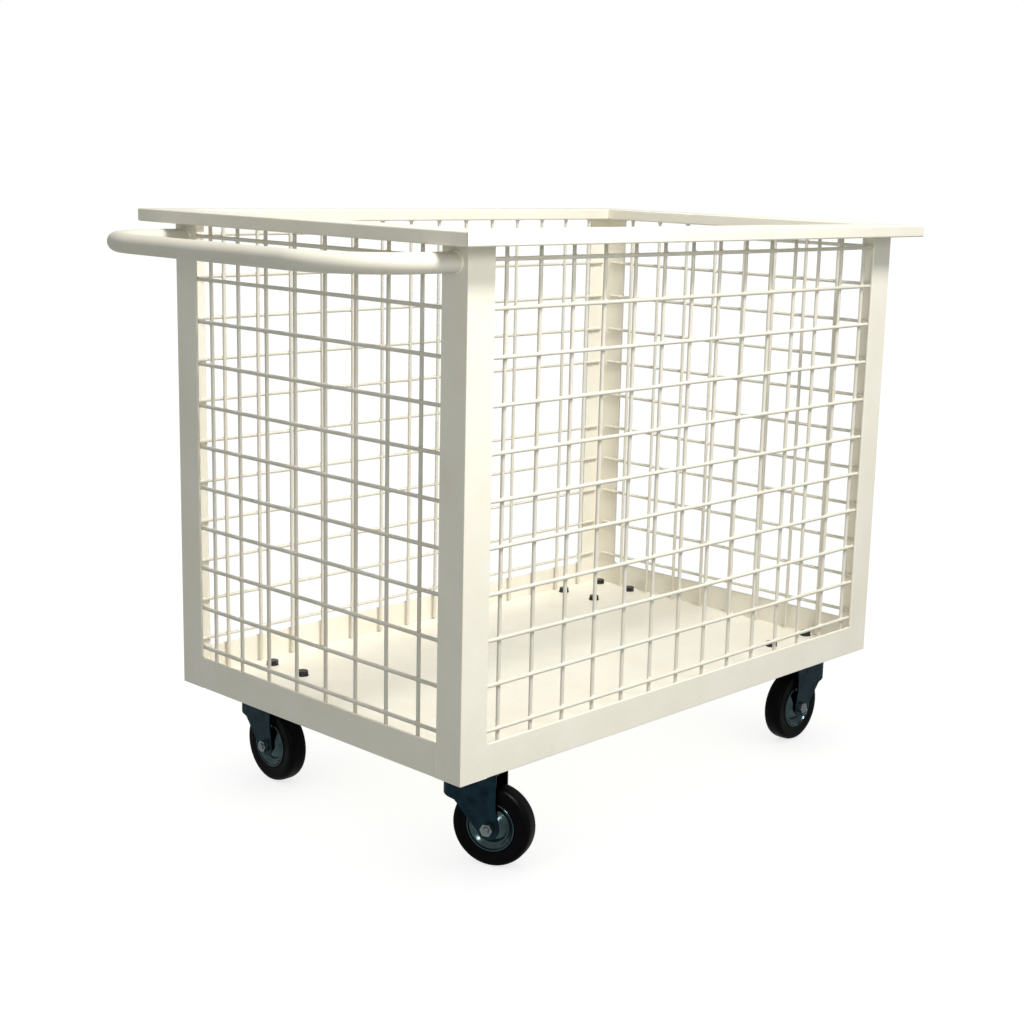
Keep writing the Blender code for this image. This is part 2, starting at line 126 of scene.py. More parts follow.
class Recipe:
    """A material's nodes, added one by one in front of its Principled shader."""

    def __init__(self, name, colour, roughness, metallic=0.0):
        self.material = bpy.data.materials.new(name)
        self.material.use_nodes = True
        self.tree = self.material.node_tree
        self.shader = self.tree.nodes["Principled BSDF"]
        self.shader.inputs["Base Color"].default_value = (*colour, 1)
        self.shader.inputs["Roughness"].default_value = roughness
        self.shader.inputs["Metallic"].default_value = metallic
        self.place = self.tree.nodes.new("ShaderNodeTexCoord").outputs["Object"]

    def feed(self, socket, value):
        if isinstance(value, bpy.types.NodeSocket):
            self.tree.links.new(value, socket)
        else:
            socket.default_value = value

    def node(self, kind, inputs, **settings):
        made = self.tree.nodes.new("ShaderNode" + kind)
        for name, value in settings.items():
            setattr(made, name, value)
        for name, value in inputs.items():
            self.feed(made.inputs[name], value)
        return made

    def noise(self, scale, detail=2.0, stretch=(1, 1, 1)):
        """Cloudy noise from 0 to 1, with this many clouds to the metre."""
        place = self.node("Mapping", {"Vector": self.place, "Scale": stretch}).outputs[0]
        inputs = {"Vector": place, "Scale": scale, "Detail": detail, "Roughness": 0.6}
        return self.node("TexNoise", inputs).outputs["Fac"]

    def spread(self, source, start, end, low=0.0, high=1.0):
        """Map source from start..end to low..high, and hold it there."""
        inputs = {"Value": source, "From Min": start, "From Max": end}
        inputs |= {"To Min": low, "To Max": high}
        return self.node("MapRange", inputs).outputs["Result"]

    def blend(self, factor, first, second):
        """Mix two colours, each a colour or an output."""
        mix = self.node("Mix", {0: factor}, data_type="RGBA")
        for socket, colour in ((mix.inputs[6], first), (mix.inputs[7], second)):
            self.feed(socket, (*colour, 1) if isinstance(colour, tuple) else colour)
        return mix.outputs[2]

    def total(self, first, second):
        return self.node("Math", {0: first, 1: second}, operation="ADD").outputs[0]

    def bump(self, height, depth):
        inputs = {"Height": height, "Distance": depth, "Strength": 1.0}
        self.feed(self.shader.inputs["Normal"], self.node("Bump", inputs).outputs[0])

    def paint(self, colour=None, roughness=None):
        if colour is not None:
            self.feed(self.shader.inputs["Base Color"], colour)
        if roughness is not None:
            self.feed(self.shader.inputs["Roughness"], roughness)


def powder_coat(name, scuffs=0.0, painted_shade_tone=1.0):
    """Ivory powder coat: orange peel, faint mottling, and rub marks where things slide on it."""
    # painted_shade_tone below 1 darkens every colour of a copy evenly: painted shade on a part that
    # has the same paint as the frame.
    shades = ((0.87, 0.835, 0.74), (0.82, 0.775, 0.665), (0.68, 0.64, 0.56))
    ivory, deeper, rubbed = (tuple(painted_shade_tone * channel for channel in shade) for shade in shades)
    recipe = Recipe(name, ivory, 0.42)
    recipe.shader.inputs["Coat Weight"].default_value = 0.12
    recipe.shader.inputs["Coat Roughness"].default_value = 0.30
    mottle = recipe.spread(recipe.noise(9, 4), 0.35, 0.70)
    colour = recipe.blend(mottle, ivory, deeper)
    speck = recipe.spread(recipe.noise(420, 1), 0.66, 0.74, 0, 0.35)
    colour = recipe.blend(speck, colour, rubbed)
    along = recipe.noise(30, 3, (1, 14, 1))
    marks = recipe.spread(along, 0.66 - 0.08 * scuffs, 0.80, 0, 0.25 + 0.35 * scuffs)
    colour = recipe.blend(marks, colour, rubbed)
    peel = recipe.noise(650, 2)
    sheen = recipe.total(recipe.spread(mottle, 0, 1, 0.36, 0.46), recipe.spread(marks, 0, 1, 0, 0.2))
    recipe.paint(colour, sheen)
    recipe.bump(peel, 0.00012)
    return recipe.material


def plated_steel(name, colour, roughness, grain):
    """Zinc plate: a cloudy blue cast, fine grain and duller patches."""
    dull = tuple(0.55 * channel for channel in colour)
    recipe = Recipe(name, colour, roughness, 1.0)
    clouds = recipe.spread(recipe.noise(55, 3), 0.40, 0.68)
    recipe.paint(
        recipe.blend(clouds, colour, dull),
        recipe.spread(clouds, 0, 1, roughness, roughness + 0.10),
    )
    recipe.bump(recipe.noise(grain, 2), 0.00001)
    return recipe.material


def black_rubber():
    """Moulded rubber, greyer where the tread is rubbed and dusty."""
    black, dusty = (0.0015, 0.0015, 0.0020), (0.008, 0.007, 0.006)
    recipe = Recipe("black_rubber", black, 0.38)
    recipe.shader.inputs["Specular IOR Level"].default_value = 0.07
    dust = recipe.spread(recipe.noise(70, 4), 0.52, 0.80, 0, 0.5)
    recipe.paint(recipe.blend(dust, black, dusty), recipe.spread(dust, 0, 0.6, 0.34, 0.60))
    recipe.bump(recipe.noise(900, 2), 0.00006)
    return recipe.material


def studio_floor():
    """A plain near-white floor that glows a little, so that it looks evenly lit."""
    recipe = Recipe("studio_floor", (0.80, 0.80, 0.80), 0.9)
    recipe.shader.inputs["Emission Color"].default_value = (1, 1, 1, 1)
    recipe.shader.inputs["Emission Strength"].default_value = 0.74
    return recipe.material


coat = powder_coat("powder_coat")
floor_coat = powder_coat("powder_coat_floor", scuffs=1.0)
# The wires have the frame's paint; this copy is made darker all over as painted shade.
wire_coat_painted_shade = powder_coat("powder_coat_wire_painted_shade", scuffs=0.4, painted_shade_tone=0.83)
# The handle has the frame's paint; this copy is made darker all over as painted shade, to tone down
# how brightly it is lit.
handle_coat_painted_shade = powder_coat("powder_coat_handle_painted_shade", scuffs=0.5, painted_shade_tone=0.84)
# The fork, plate, race, kingpin and wheel-centre zinc are much darker than bright zinc. This is
# partly a dark blue plating and partly painted shade for the dark underside they reflect.
zinc = plated_steel("zinc_plated_steel", (0.022, 0.048, 0.068), 0.27, 700)
wheel_zinc = plated_steel("wheel_plated_steel", (0.100, 0.150, 0.165), 0.12, 500)
axle_zinc = plated_steel("axle_plated_steel", (0.36, 0.40, 0.42), 0.22, 900)
bolt_steel = plated_steel("blackened_steel", (0.050, 0.052, 0.058), 0.34, 900)
rubber = black_rubber()


# Mesh tools


def to_mesh(bm, name):
    """Turn a finished bmesh into a smooth mesh that is sharp at its real corners."""
    bmesh.ops.recalc_face_normals(bm, faces=bm.faces)
    mesh = bpy.data.meshes.new(name)
    bm.to_mesh(mesh)
    bm.free()
    mesh.shade_smooth()
    mesh.set_sharp_from_angle(angle=math.radians(42))
    return mesh


def sweep(bm, points, radii, sides, across, closed=False):
    """Add a round tube along points, with a radius for each. across is a direction off its path."""
    points = [Vector(point) for point in points]
    rings = []
    for i, point in enumerate(points):
        before = points[i - 1] if closed or i else point
        after = points[(i + 1) % len(points)] if closed or i + 1 < len(points) else point
        side = (after - before).cross(across).normalized()
        top = side.cross(after - before).normalized()
        turns = [2 * math.pi * j / sides for j in range(sides)]
        spokes = [side * math.cos(turn) + top * math.sin(turn) for turn in turns]
        rings.append([bm.verts.new(point + radii[i] * spoke) for spoke in spokes])
    pairs = list(zip(rings, rings[1:]))
    if closed:
        pairs.append((rings[-1], rings[0]))
    for ring, following in pairs:
        for j in range(sides):
            k = (j + 1) % sides
            bm.faces.new((ring[j], ring[k], following[k], following[j]))
    if not closed:
        bm.faces.new(rings[0])
        bm.faces.new(rings[-1])


def rod(bm, points, radius, sides, across):
    """Add a tube with domed ends."""
    start = (Vector(points[1]) - Vector(points[0])).normalized()
    end = (Vector(points[-1]) - Vector(points[-2])).normalized()
    dome = ((0.0, 0.35), (0.12, 0.72), (0.45, 0.95))
    path = [Vector(points[0]) + start * radius * reach for reach, _ in dome]
    path += [Vector(point) for point in points[1:-1]]
    path += [Vector(points[-1]) - end * radius * reach for reach, _ in reversed(dome)]
    shares = [share for _, share in dome]
    radii = shares + [1.0] * (len(points) - 2) + shares[::-1]
    sweep(bm, path, [radius * share for share in radii], sides, across)


def blob(bm, centre, radii):
    """Add a squashed ball, such as a spot of weld."""
    place = Matrix.Translation(centre) @ Matrix.Diagonal((*radii, 1))
    bmesh.ops.create_uvsphere(bm, u_segments=10, v_segments=6, radius=1, matrix=place)


def turned(name, profile, steps, ring=True):
    """A (radius, height) profile turned about Z. A ring's profile is a closed loop."""
    bm = bmesh.new()
    columns = []
    for i in range(steps):
        turn = Matrix.Rotation(2 * math.pi * i / steps, 3, "Z")
        points = [turn @ Vector((radius, 0, height)) for radius, height in profile]
        columns.append([bm.verts.new(point) for point in points])
    last = len(profile) if ring else len(profile) - 1
    for column, following in zip(columns, columns[1:] + columns[:1]):
        for j in range(last):
            k = (j + 1) % len(profile)
            bm.faces.new((column[j], column[k], following[k], following[j]))
    bmesh.ops.remove_doubles(bm, verts=bm.verts, dist=1e-6)
    return to_mesh(bm, name)


def cut_corners(profile, rounds, ring=True):
    """Smooth a profile by cutting its corners, as often as rounds says."""
    for _ in range(rounds):
        pairs = list(zip(profile, profile[1:]))
        if ring:
            pairs.append((profile[-1], profile[0]))
        cut = []
        for (r0, z0), (r1, z1) in pairs:
            cut.append((0.75 * r0 + 0.25 * r1, 0.75 * z0 + 0.25 * z1))
            cut.append((0.25 * r0 + 0.75 * r1, 0.25 * z0 + 0.75 * z1))
        profile = cut if ring else [profile[0], *cut, profile[-1]]
    return profile


def mirrored_profile(half):
    return half + [(radius, -height) for radius, height in reversed(half)]


def circle(x, y, radius, sides=40, turn=0.0):
    turns = [turn + 2 * math.pi * i / sides for i in range(sides)]
    return [(x + radius * math.cos(t), y + radius * math.sin(t)) for t in turns]


def arc(x, y, radius, start, end, steps=12):
    """Points on an arc around (x, y), between two angles in degrees."""
    angles = [math.radians(start + (end - start) * i / steps) for i in range(steps + 1)]
    return [(x + radius * math.cos(a), y + radius * math.sin(a)) for a in angles]


def prism(name, loops, bottom, top):
    """A flat outline with any holes, filled, from one height up to another."""
    curve = bpy.data.curves.new(name, "CURVE")
    curve.dimensions = "2D"
    curve.fill_mode = "BOTH"
    curve.extrude = (top - bottom) / 2
    for loop in loops:
        spline = curve.splines.new("POLY")
        spline.points.add(len(loop) - 1)
        for point, (x, y) in zip(spline.points, loop):
            point.co = (x, y, 0, 1)
        spline.use_cyclic_u = True
    mesh = evaluated(bpy.data.objects.new(name, curve))
    mesh.transform(Matrix.Translation((0, 0, (top + bottom) / 2)))
    return mesh


def evaluated(obj):
    """Return what obj evaluates to as a welded mesh facing out, and remove obj."""
    bpy.context.scene.collection.objects.link(obj)
    graph = bpy.context.evaluated_depsgraph_get()
    mesh = bpy.data.meshes.new_from_object(obj.evaluated_get(graph))
    bpy.data.objects.remove(obj)
    bm = bmesh.new()
    bm.from_mesh(mesh)
    bmesh.ops.remove_doubles(bm, verts=bm.verts, dist=1e-6)
    bmesh.ops.recalc_face_normals(bm, faces=bm.faces)
    bm.to_mesh(mesh)
    bm.free()
    mesh.materials.clear()
    return mesh


def combined(mesh, other, operation):
    """The Boolean of two meshes."""
    tool = bpy.data.objects.new("tool", other)
    bpy.context.scene.collection.objects.link(tool)
    obj = bpy.data.objects.new(mesh.name, mesh)
    boolean = obj.modifiers.new("combine", "BOOLEAN")
    boolean.operation = operation
    boolean.object = tool
    result = evaluated(obj)
    bpy.data.objects.remove(tool)
    return result


def rounded(mesh, width, chosen=lambda edge, sign: True, segments=3):
    """Round a mesh's sharp edges, or the ones chosen by edge and by sign: convex 1, concave -1."""
    bm = bmesh.new()
    bm.from_mesh(mesh)
    bmesh.ops.remove_doubles(bm, verts=bm.verts, dist=1e-5)
    flat = math.radians(1)
    bmesh.ops.dissolve_limit(bm, angle_limit=flat, verts=bm.verts, edges=bm.edges)
    bmesh.ops.recalc_face_normals(bm, faces=bm.faces)
    edges = []
    for edge in bm.edges:
        angle = edge.calc_face_angle_signed(0)
        if abs(angle) > math.radians(30) and chosen(edge, math.copysign(1, angle)):
            edges.append(edge)
    bmesh.ops.bevel(
        bm,
        geom=edges,
        offset=width,
        offset_type="OFFSET",
        segments=segments,
        profile=0.5,
        affect="EDGES",
        clamp_overlap=True,
    )
    return to_mesh(bm, mesh.name)


def add_piece(name, mesh, finish, body, *replaced, place=Matrix()):
    """Show a mesh as a piece that rides on a body and stands for the replaced CAD nodes."""
    piece = bpy.data.objects.new(name, mesh)
    piece.matrix_world = place
    bpy.context.scene.collection.objects.link(piece)
    if not mesh.materials:
        mesh.materials.append(finish)
    normals = piece.modifiers.new("even_faces", "WEIGHTED_NORMAL")
    normals.keep_sharp = True
    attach(piece, body)
    if replaced:
        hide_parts(*replaced)
    return piece


def repaint(node, finish):
    """Give a CAD node that stays in view its material."""
    mesh = frame["nodes"][node].data
    mesh.materials.clear()
    mesh.materials.append(finish)


# Cage


def long_edges(axis, length):
    """A test for edges that run along an axis for most of a bar's length."""
    def test(edge):
        run = edge.verts[1].co - edge.verts[0].co
        return abs(run.dot(axis)) > 0.6 * length
    return test


def add_angle_bar(node, axis):
    """A rolled angle: a wide fillet in its root and small radii on its other long edges."""
    low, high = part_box(node)
    runs_along = long_edges(axis, (high - low).dot(axis))
    mesh = frame["nodes"][node].data.copy()
    mesh.materials.clear()
    mesh = rounded(mesh, ROLLED_ROOT, lambda edge, sign: runs_along(edge) and sign < 0, 5)
    mesh = rounded(mesh, ROLLED_EDGE, lambda edge, sign: runs_along(edge) and sign > 0)
    add_piece(node + "_bar", mesh, coat, "trolley", node)


def add_rim_tube(node, axis):
    """A rectangular tube with round corners outside."""
    low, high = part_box(node)
    runs_along = long_edges(axis, (high - low).dot(axis))
    def outside(edge, sign):
        """Whether an edge lies on the tube's top or underside."""
        height = edge.verts[0].co.z
        return runs_along(edge) and min(height - low.z, high.z - height) < 0.0005
    mesh = frame["nodes"][node].data.copy()
    mesh.materials.clear()
    add_piece(node + "_tube", rounded(mesh, TUBE_EDGE, outside, 5), coat, "trolley", node)


def bar_middles(values):
    """The middles of bars, from the places of their two edges."""
    places = sorted({round(value, 5) for value in values})
    return [(start + end) / 2 for start, end in zip(places[::2], places[1::2])]


def bowed(start, end, sway, steps=10):
    """Points from start to end, swaying off the line like drawn wire."""
    points = []
    for i in range(steps + 1):
        share = i / steps
        points.append(start.lerp(end, share) + sway * math.sin(math.pi * share))
    return points


def add_mesh_panel(node, axis):
    """Round wires where the CAD panel has square bars, with a weld at every crossing."""
    along = 0 if axis == LENGTHWISE else 1
    depth = 1 - along
    low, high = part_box(node)
    corners = [vertex.co for vertex in frame["nodes"][node].data.vertices]
    tips = [co for co in corners if high.z - co.z < 0.0001]
    ends = [co for co in corners if co[along] - low[along] < 0.0001]
    uprights = bar_middles(co[along] for co in tips)
    crossings = bar_middles(co.z for co in ends)
    upright_depth = (min(co[depth] for co in tips) + max(co[depth] for co in tips)) / 2
    cross_depth = (min(co[depth] for co in ends) + max(co[depth] for co in ends)) / 2
    weld_depth = (upright_depth + cross_depth) / 2
    across = CROSSWISE if along == 0 else LENGTHWISE

    def point(distance, inward, height):
        place = [inward, inward, height]
        place[along] = distance
        return Vector(place)

    bm = bmesh.new()
    for distance in uprights:
        start, end = point(distance, upright_depth, low.z), point(distance, upright_depth, high.z)
        sway = axis * dice.uniform(-WIRE_BOW, WIRE_BOW)
        rod(bm, bowed(start, end, sway), WIRE_RADIUS, WIRE_SIDES, across)
        blob(bm, end - UP * 0.0005, TIP_WELD)
    for height in crossings:
        start, end = point(low[along], cross_depth, height), point(high[along], cross_depth, height)
        sway = UP * dice.uniform(-WIRE_BOW, WIRE_BOW)
        rod(bm, bowed(start, end, sway), WIRE_RADIUS, WIRE_SIDES, across)
        for distance in uprights:
            size = NUGGET_RADIUS * dice.uniform(0.88, 1.12)
            blob(bm, point(distance, weld_depth, height), [size] * 3)
        for distance in (low[along] + POST_WELD_INSET, high[along] - POST_WELD_INSET):
            blob(bm, point(distance, cross_depth, height), [POST_WELD_RADIUS] * 3)
    add_piece(node + "_wires", to_mesh(bm, node), wire_coat_painted_shade, "trolley", node)


def add_handle():
    """The bent tube, and the weld round each of its ends."""
    low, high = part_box("push_handle")
    radius = (high.z - low.z) / 2
    arm_y = high.y - radius
    bend_x = low.x + radius + HANDLE_BEND
    bend_y = arm_y - HANDLE_BEND
    path = (
        [(high.x, arm_y), (bend_x + 0.02, arm_y)]
        + arc(bend_x, bend_y, HANDLE_BEND, 90, 180, 28)
        + arc(bend_x, -bend_y, HANDLE_BEND, 180, 270, 28)
        + [(bend_x + 0.02, -arm_y), (high.x, -arm_y)]
    )
    centre_z = (high.z + low.z) / 2
    points = [(x, y, centre_z) for x, y in path]
    bm = bmesh.new()
    sweep(bm, points, [radius] * len(points), HANDLE_SIDES, UP)
    add_piece("push_handle_tube", to_mesh(bm, "handle"), handle_coat_painted_shade, "trolley", "push_handle")

    bm = bmesh.new()
    for side in (-1, 1):
        turns = [2 * math.pi * i / 96 for i in range(96)]
        ring = []
        for turn in turns:
            y = side * arm_y + radius * math.cos(turn)
            ring.append((high.x, y, centre_z + radius * math.sin(turn)))
        radii = [HANDLE_WELD_RADIUS * (1 + 0.10 * math.sin(24 * turn)) for turn in turns]
        sweep(bm, ring, radii, 12, LENGTHWISE, closed=True)
    add_piece("push_handle_welds", to_mesh(bm, "handle_welds"), coat, "trolley")


def bead(bm, start, end, radius, across):
    """A run of weld: a tube that ripples along its length."""
    start, end = Vector(start), Vector(end)
    steps = max(8, round((end - start).length / 0.0012))
    points = [start.lerp(end, i / steps) for i in range(steps + 1)]
    radii = [radius * (1 + 0.09 * math.sin(i * 2.1)) for i in range(steps + 1)]
    sweep(bm, points, radii, 10, across)


def add_cage_welds():
    """Beads where the posts meet the rim, and in the corners where rails meet posts."""
    bm = bmesh.new()
    for end in ENDS:
        for side in SIDES:
            low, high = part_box(f"corner_post_{end}_{side}")
            out_x, in_x = (low.x, high.x) if end == "rear" else (high.x, low.x)
            out_y, in_y = (low.y, high.y) if side == "right" else (high.y, low.y)
            top = high.z
            bead(bm, (out_x, out_y, top), (in_x, out_y, top), POST_BEAD_RADIUS, UP)
            bead(bm, (out_x, out_y, top), (out_x, in_y, top), POST_BEAD_RADIUS, UP)
            rail_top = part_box("bottom_rail_" + side)[1].z
            seam_y = out_y + math.copysign(RAIL_BEAD_DEPTH, in_y - out_y)
            seam_x = out_x + math.copysign(RAIL_BEAD_DEPTH, in_x - out_x)
            for x, y, across in ((in_x, seam_y, CROSSWISE), (seam_x, in_y, LENGTHWISE)):
                bead(bm, (x, y, low.z), (x, y, rail_top), RAIL_BEAD_RADIUS, across)
    add_piece("cage_welds", to_mesh(bm, "cage_welds"), coat, "trolley")


def add_cage():
    for corner in CORNERS:
        add_angle_bar("corner_post_" + corner, UP)
        repaint("caster_pad_" + corner, coat)
    for side in SIDES:
        add_angle_bar("bottom_rail_" + side, LENGTHWISE)
        add_rim_tube("rim_rail_" + side, LENGTHWISE)
        add_mesh_panel("mesh_panel_" + side, LENGTHWISE)
    for end in ENDS:
        add_angle_bar("bottom_rail_" + end, CROSSWISE)
        add_rim_tube("rim_rail_" + end, CROSSWISE)
        add_mesh_panel("mesh_panel_" + end, CROSSWISE)
    repaint("floor_sheet", floor_coat)
    add_handle()
    add_cage_welds()


# Casters


def hexagon(flats, bottom, top):
    """A hexagon prism with chamfered ends, as on a bolt head or a nut."""
    corner = flats / math.sqrt(3)
    block = prism("hexagon", [circle(0, 0, corner, 6)], bottom, top)
    slope = (corner - flats / 2) * 0.6
    cone = [
        (0, top),
        (flats / 2, top),
        (flats / 2 + 2 * slope, top - slope),
        (flats / 2 + 2 * slope, bottom + slope),
        (flats / 2, bottom),
        (0, bottom),
    ]
    return combined(block, turned("chamfer", cone, 48, ring=False), "INTERSECT")


def join(name, *meshes):
    """One mesh of several that only touch."""
    bm = bmesh.new()
    for mesh in meshes:
        bm.from_mesh(mesh)
    return to_mesh(bm, name)


def plate_mesh(low, high):
    """The top plate about its middle, with rounded corners and edges."""
    half_x, half_y = (high.x - low.x) / 2, (high.y - low.y) / 2
    outline = []
    for quarter, (i, j) in enumerate(((1, 1), (-1, 1), (-1, -1), (1, -1))):
        x, y = i * (half_x - PLATE_CORNER), j * (half_y - PLATE_CORNER)
        outline += arc(x, y, PLATE_CORNER, 90 * quarter, 90 * quarter + 90, 8)
    holes = []
    for x in (-BOLT_SPACING[0] / 2, BOLT_SPACING[0] / 2):
        for y in (-BOLT_SPACING[1] / 2, BOLT_SPACING[1] / 2):
            holes.append(circle(x, y, PLATE_HOLE_RADIUS, 32))
    mesh = prism("caster_plate", [outline, *holes], low.z, high.z)
    return rounded(mesh, SHEET_EDGE, segments=2)


def race_mesh(low, high):
    """The ball race: two pressed cups with a groove between them."""
    outer = (high.x - low.x) / 2
    thick = high.z - low.z
    middle = (high.z + low.z) / 2
    shape = (
        (0.30, 0.50), (0.90, 0.50), (0.97, 0.44), (1.00, 0.30), (0.985, 0.14), (0.93, 0.08),
        (0.91, 0.02), (0.93, -0.06), (0.97, -0.12), (0.975, -0.30), (0.93, -0.46),
        (0.86, -0.50), (0.30, -0.50),
    )
    profile = [(outer * radius, middle + thick * height) for radius, height in shape]
    return turned("swivel_race", profile, 72)


def kingpin_mesh(low, high, crown_bottom):
    """The kingpin's foot, a riveted dome under the crown, and its shank."""
    foot = (high.x - low.x) / 2
    height = crown_bottom - low.z
    profile = [(0, high.z), (0.0095, high.z), (0.0095, high.z - 0.002), (0.006, high.z - 0.002)]
    profile += [(0.006, crown_bottom), (foot, crown_bottom), (foot, crown_bottom - 0.0015)]
    dome = arc(0, crown_bottom - 0.0015, 1, 0, -90, 8)
    for x, z in dome[1:]:
        share = crown_bottom - 0.0015 - z
        profile.append((foot * 0.92 * x, crown_bottom - 0.0015 - share * (height - 0.0015)))
    return turned("kingpin", profile, 48, ring=False)


def fork_mesh(top, axle_z):
    """The pressed fork about its swivel axis, with the wheel trailing at +X."""
    front, rear, half = FORK_FRONT, FORK_REAR, FORK_HALF_WIDTH
    side = (
        [(rear, top), (front, top), (front, FORK_WEB_BOTTOM), FORK_SHOULDER]
        + arc(TRAIL, axle_z, FORK_END_RADIUS, 215, 360, 20)
        + [(rear, FORK_WAIST_HEIGHT)]
    )

    def plan(inset):
        """The fork from above, as far in as inset."""
        corner = FORK_CORNER - inset
        reach, edge = half - inset, front + inset
        return (
            [(2 * rear, reach)]
            + arc(edge + corner, reach - corner, corner, 90, 180, 10)
            + arc(edge + corner, corner - reach, corner, 180, 270, 10)
            + [(2 * rear, -reach)]
        )

    mesh = prism("fork", [side], -2 * half, 2 * half)
    mesh.transform(ON_EDGE)
    mesh = combined(mesh, prism("plan", [plan(0)], 0, 2 * top), "INTERSECT")
    inside = prism("inside", [plan(FORK_WALL)], 0, top - CROWN_THICKNESS)
    mesh = combined(mesh, inside, "DIFFERENCE")
    hole = prism("axle_hole", [circle(0, 0, BOLT_RADIUS + CLEARANCE, 32)], -2 * half, 2 * half)
    hole.transform(Matrix.Translation((TRAIL, 0, axle_z)) @ ON_EDGE)
    mesh = combined(mesh, hole, "DIFFERENCE")

    def round_shoulder(edge, sign):
        """The bend between the crown and its walls, outside."""
        level = all(abs(vertex.co.z - top) < 1e-5 for vertex in edge.verts)
        return level and min(vertex.co.x for vertex in edge.verts) < rear - 1e-4

    mesh = rounded(mesh, 0.0030, round_shoulder, 5)
    return rounded(mesh, 0.0006, lambda edge, sign: sign > 0, 2)


def axle_bolt_mesh(half, length):
    """The axle bolt along Z, with its head at the far side and a chamfered thread end."""
    head = hexagon(BOLT_FLATS, -half - HEAD_HEIGHT, -half)
    shank = [(0, length), (0.0040, length), (BOLT_RADIUS, length - 0.001)]
    shank += [(BOLT_RADIUS, -half), (0, -half)]
    return join("axle_bolt", head, turned("shank", shank, 32, ring=False))


def nut_mesh(name, bottom, top):
    """A nut along Z, with a raised collar where its bore opens."""
    nut = hexagon(BOLT_FLATS, bottom, top)
    bore = prism("bore", [circle(0, 0, BOLT_RADIUS + CLEARANCE, 32)], bottom - 0.01, top + 0.01)
    mesh = combined(nut, bore, "DIFFERENCE")
    mesh.name = name
    return rounded(mesh, 0.0002, segments=2)


def hub_mesh():
    """The pressed wheel centre: a boss on a cone, a groove round it, and a rolled lip."""
    half = [
        (0.0078, 0.0190), (0.0112, 0.0190), (0.0126, 0.0184), (0.0136, 0.0172), (0.0150, 0.0162),
        (0.0238, 0.0102), (0.0252, 0.0088), (0.0266, 0.0084), (0.0280, 0.0088), (0.0346, 0.0134),
        (0.0352, 0.0156), (0.0362, 0.0160), (0.0377, 0.0150),
    ]
    mesh = turned("wheel_hub", cut_corners(mirrored_profile(half), 2), 120)
    mesh.transform(ON_EDGE)
    return mesh


def tyre_mesh(radius, half_width):
    """A solid tyre with a bead ring, a full shoulder and a mould line round the tread."""
    half = [
        (0.0380, 0.0135), (0.0384, 0.0150), (0.0410, 0.0154), (0.0424, 0.0149), (0.0440, 0.0155),
        (0.0500, half_width), (0.0545, half_width), (0.0580, 0.0148), (0.0600, 0.0115),
        (radius, 0.0070), (radius, 0.0012), (radius, 0.0003),
    ]
    mesh = turned("tyre", cut_corners(mirrored_profile(half), 2), 144)
    mesh.transform(ON_EDGE)
    return mesh


def add_caster_bolts(corner):
    """The bolts through the floor, dark against the paint, with washers over and nuts under."""
    plate_low, plate_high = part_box("caster_plate_" + corner)
    middle = (plate_low + plate_high) / 2
    floor_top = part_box("floor_sheet")[1].z
    washer_top = floor_top + WASHER_THICKNESS
    edge = WASHER_THICKNESS - 0.0004
    flat = [(0.0052, 0), (0.0052, WASHER_THICKNESS), (0.0096, WASHER_THICKNESS)]
    washer = turned("washer", [*flat, (0.0100, edge), (0.0100, 0)], 40)
    washer.transform(Matrix.Translation((0, 0, floor_top + 0.0001)))
    head = hexagon(BOLT_FLATS, washer_top + 0.0002, washer_top + 0.0002 + HEAD_HEIGHT)
    tail = plate_low.z - 0.0100
    rod_shape = [(0, washer_top), (BOLT_RADIUS, washer_top), (BOLT_RADIUS, tail + 0.001)]
    rod_shape += [(0.004, tail), (0, tail)]
    shank = turned("shank", rod_shape, 24, ring=False)
    nut = nut_mesh("nut", plate_low.z - 0.0072, plate_low.z - 0.0002)
    mesh = join("caster_bolt", washer, head, shank, nut)
    for number, (i, j) in enumerate(((-1, -1), (-1, 1), (1, -1), (1, 1)), 1):
        x = middle.x + i * BOLT_SPACING[0] / 2
        y = middle.y + j * BOLT_SPACING[1] / 2
        turn = Matrix.Rotation(dice.uniform(0, math.pi / 3), 4, "Z")
        place = Matrix.Translation((x, y, 0)) @ turn
        add_piece(f"caster_bolt_{corner}_{number}", mesh, bolt_steel, "trolley", place=place)


